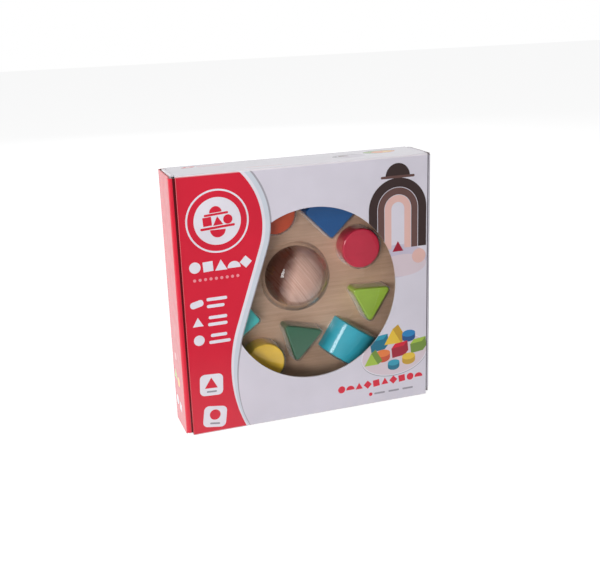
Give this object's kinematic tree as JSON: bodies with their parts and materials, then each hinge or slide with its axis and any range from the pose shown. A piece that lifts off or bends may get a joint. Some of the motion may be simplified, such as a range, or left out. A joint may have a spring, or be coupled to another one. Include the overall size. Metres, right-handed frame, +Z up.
{
  "type": "stacking balance game",
  "caption": "Wooden stacking balance game packed in a window carton: a round board, a half-ball rocker and painted blocks under a clear formed cover, with tuck flaps at both ends.",
  "frame": {"origin": "on the table, under the middle of the carton's sleeve", "axes": "+X along the front panel to its right, +Y from the front panel to the back, +Z up"},
  "size_m": [0.262, 0.052, 0.255],
  "materials": {
    "card_white": "printed card, satin varnish",
    "card_red": "printed card, satin varnish",
    "clear_film": "clear thermoformed sheet",
    "board_wood": "sanded, clear lacquer",
    "ball_wood": "turned, clear lacquer",
    "red_paint": "satin paint",
    "orange_paint": "satin paint",
    "yellow_paint": "satin paint",
    "lime_paint": "satin paint",
    "green_paint": "satin paint",
    "blue_paint": "satin paint",
    "turquoise_paint": "satin paint",
    "teal_paint": "satin paint"
  },
  "bodies": {
    "carton": {"front_panel": "card_white", "back_panel": "card_white", "top_panel": "card_white", "bottom_panel": "card_white", "glue_flap": "card_white", "blister_cover": "clear_film", "balance_board": "board_wood", "half_ball": "ball_wood", "red_round_block": "red_paint", "orange_round_block": "orange_paint", "yellow_round_block": "yellow_paint", "lime_triangle_block": "lime_paint", "green_triangle_block": "green_paint", "yellow_triangle_block": "yellow_paint", "blue_square_block": "blue_paint", "turquoise_square_block": "turquoise_paint", "teal_half_round_block": "teal_paint"},
    "left_tuck_flap_body": {"left_tuck_flap": "card_red"},
    "left_tongue_body": {"left_tongue": "card_red"},
    "left_top_dust_flap_body": {"left_top_dust_flap": "card_white"},
    "left_bottom_dust_flap_body": {"left_bottom_dust_flap": "card_white"},
    "right_tuck_flap_body": {"right_tuck_flap": "card_white"},
    "right_tongue_body": {"right_tongue": "card_white"},
    "right_top_dust_flap_body": {"right_top_dust_flap": "card_white"},
    "right_bottom_dust_flap_body": {"right_bottom_dust_flap": "card_white"}
  },
  "joints": [
    {"name": "left_tuck_hinge", "type": "hinge", "parent": "carton", "child": "left_tuck_flap_body", "pos_m": [-0.12515, 0.026, 0.1275], "axis": [0, 0, -1], "range_deg": [0, 120]},
    {"name": "left_tongue_fold", "type": "hinge", "parent": "left_tuck_flap_body", "child": "left_tongue_body", "pos_m": [-0.12485, -0.02104, 0.1275], "axis": [0, 0, 1], "range_deg": [0, 50]},
    {"name": "left_top_dust_hinge", "type": "hinge", "parent": "carton", "child": "left_top_dust_flap_body", "pos_m": [-0.12515, 0, 0.255], "axis": [0, 1, 0], "range_deg": [0, 90]},
    {"name": "left_bottom_dust_hinge", "type": "hinge", "parent": "carton", "child": "left_bottom_dust_flap_body", "pos_m": [-0.12515, 0, 0], "axis": [0, -1, 0], "range_deg": [0, 90]},
    {"name": "right_tuck_hinge", "type": "hinge", "parent": "carton", "child": "right_tuck_flap_body", "pos_m": [0.12515, 0.026, 0.1275], "axis": [0, 0, 1], "range_deg": [0, 120]},
    {"name": "right_tongue_fold", "type": "hinge", "parent": "right_tuck_flap_body", "child": "right_tongue_body", "pos_m": [0.12485, -0.02104, 0.1275], "axis": [0, 0, -1], "range_deg": [0, 50]},
    {"name": "right_top_dust_hinge", "type": "hinge", "parent": "carton", "child": "right_top_dust_flap_body", "pos_m": [0.12515, 0, 0.255], "axis": [0, -1, 0], "range_deg": [0, 90]},
    {"name": "right_bottom_dust_hinge", "type": "hinge", "parent": "carton", "child": "right_bottom_dust_flap_body", "pos_m": [0.12515, 0, 0], "axis": [0, 1, 0], "range_deg": [0, 90]}
  ],
  "couplings": [
    {"joint": "left_top_dust_hinge", "follows": "left_tuck_hinge", "ratio": 0.74},
    {"joint": "left_bottom_dust_hinge", "follows": "left_tuck_hinge", "ratio": 0.74},
    {"joint": "right_top_dust_hinge", "follows": "right_tuck_hinge", "ratio": 0.74},
    {"joint": "right_bottom_dust_hinge", "follows": "right_tuck_hinge", "ratio": 0.74}
  ]
}
